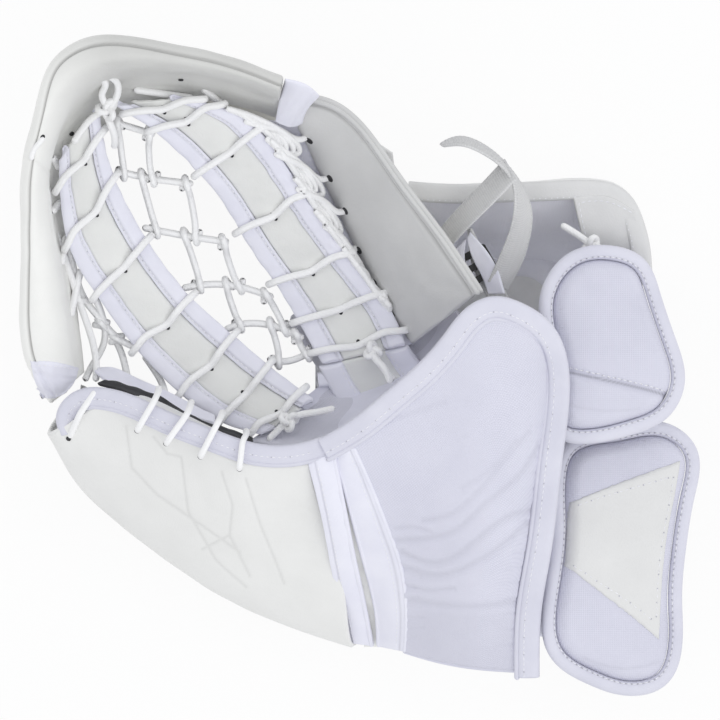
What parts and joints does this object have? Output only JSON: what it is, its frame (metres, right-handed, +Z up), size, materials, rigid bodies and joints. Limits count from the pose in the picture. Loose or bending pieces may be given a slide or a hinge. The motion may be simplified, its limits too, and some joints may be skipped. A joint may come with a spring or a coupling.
{
  "type": "goalie catch glove",
  "caption": "White goalie catch glove with laced pocket, rounded finger casing, padded thumb, cuff with hinged flaps and a wrist strap.",
  "frame": {"origin": "centre of the bounding box at the floor, with the glove lying on its back", "axes": "+X from the pocket rim towards the cuff, +Y towards the fingers, +Z up out of the open pocket"},
  "size_m": [0.4028, 0.3876, 0.1801],
  "materials": {
    "leather": "smooth off-white leather, low sheen",
    "strap_leather": "smooth white leather strip",
    "binding_fabric": "coated fabric, lilac white, stitched",
    "piping": "covered cord, lilac white",
    "cuff_fabric": "woven fabric, lavender white",
    "flap_fabric": "woven fabric over padding, grey lavender",
    "lining_fabric": "soft knitted lining",
    "lace": "waxed white lace",
    "foam": "closed-cell foam padding",
    "board": "stiff polyethylene board",
    "webbing": "grey woven webbing",
    "buckle_plastic": "black moulded plastic"
  },
  "bodies": {
    "hand": {"finger_casing": "leather", "casing_foam": "foam", "casing_board": "board", "rim_piping": "piping", "finger_panel": "leather", "finger_panel_foam": "foam", "finger_panel_piping": "piping", "finger_gusset": "binding_fabric", "finger_back_shell": "leather", "finger_back_foam": "foam", "right_strap_leather": "strap_leather", "right_strap_borders": "binding_fabric", "left_strap_leather": "strap_leather", "left_strap_borders": "binding_fabric", "right_strap_lacing": "lace", "left_strap_lacing": "lace", "heel_crosspiece": "binding_fabric", "mesh_cross_laces": "lace", "mesh_long_laces": "lace", "outer_mesh": "lace", "finger_lacing": "lace", "rim_lacing": "lace", "top_knot": "lace", "heel_knots": "lace", "palm_leather": "leather", "palm_liner": "lining_fabric", "back_of_hand_pad": "lining_fabric", "back_of_hand_board": "board", "finger_stalls": "lining_fabric", "rim_gusset_tab": "binding_fabric", "front_cuff_panel": "cuff_fabric", "front_cuff_foam": "foam", "front_cuff_board": "board", "cuff_binding": "binding_fabric", "cuff_slit_strip": "binding_fabric", "cuff_side_panel": "cuff_fabric", "flap_tapes": "binding_fabric", "back_cuff_shell": "cuff_fabric", "back_cuff_lining": "lining_fabric", "cuff_floor": "cuff_fabric", "back_cuff_patch": "leather", "wrist_strap": "webbing", "buckle_loop": "binding_fabric", "cuff_knot": "lace"},
    "thumb": {"thumb_panel": "leather", "thumb_foam": "foam", "thumb_board": "board", "thumb_pocket_wall": "leather", "thumb_back_shell": "leather", "thumb_binding": "binding_fabric", "thumb_slit_strip": "binding_fabric", "thumb_lacing": "lace", "thumb_stall": "lining_fabric"},
    "upper_flap": {"upper_flap_pad": "flap_fabric", "upper_flap_piping": "piping"},
    "lower_flap": {"lower_flap_pad": "flap_fabric", "lower_flap_piping": "piping", "lower_flap_patch": "leather"},
    "buckle": {"strap_buckle": "buckle_plastic"}
  },
  "joints": [
    {"name": "thumb_break", "type": "hinge", "parent": "hand", "child": "thumb", "pos_m": [-0.01666, -0.0483, 0.152], "axis": [-0.205, 0.9788, 0], "range_deg": [0, 10], "stiffness_Nm_per_rad": 1, "deforming": ["left_strap_leather", "left_strap_borders", "left_strap_lacing", "mesh_cross_laces", "mesh_long_laces", "outer_mesh", "rim_gusset_tab"]},
    {"name": "upper_flap_fold", "type": "hinge", "parent": "hand", "child": "upper_flap", "pos_m": [0.10534, 0.0107, 0.118], "axis": [0, -1, 0], "range_deg": [0, 25], "stiffness_Nm_per_rad": 0.3},
    {"name": "lower_flap_fold", "type": "hinge", "parent": "hand", "child": "lower_flap", "pos_m": [0.10534, -0.1093, 0.09], "axis": [0, -1, 0], "range_deg": [0, 12], "stiffness_Nm_per_rad": 0.4},
    {"name": "buckle_slide", "type": "slide", "parent": "hand", "child": "buckle", "axis": [0.4915, -0.8625, 0.1204], "range_m": [-0.005, 0.005]}
  ]
}
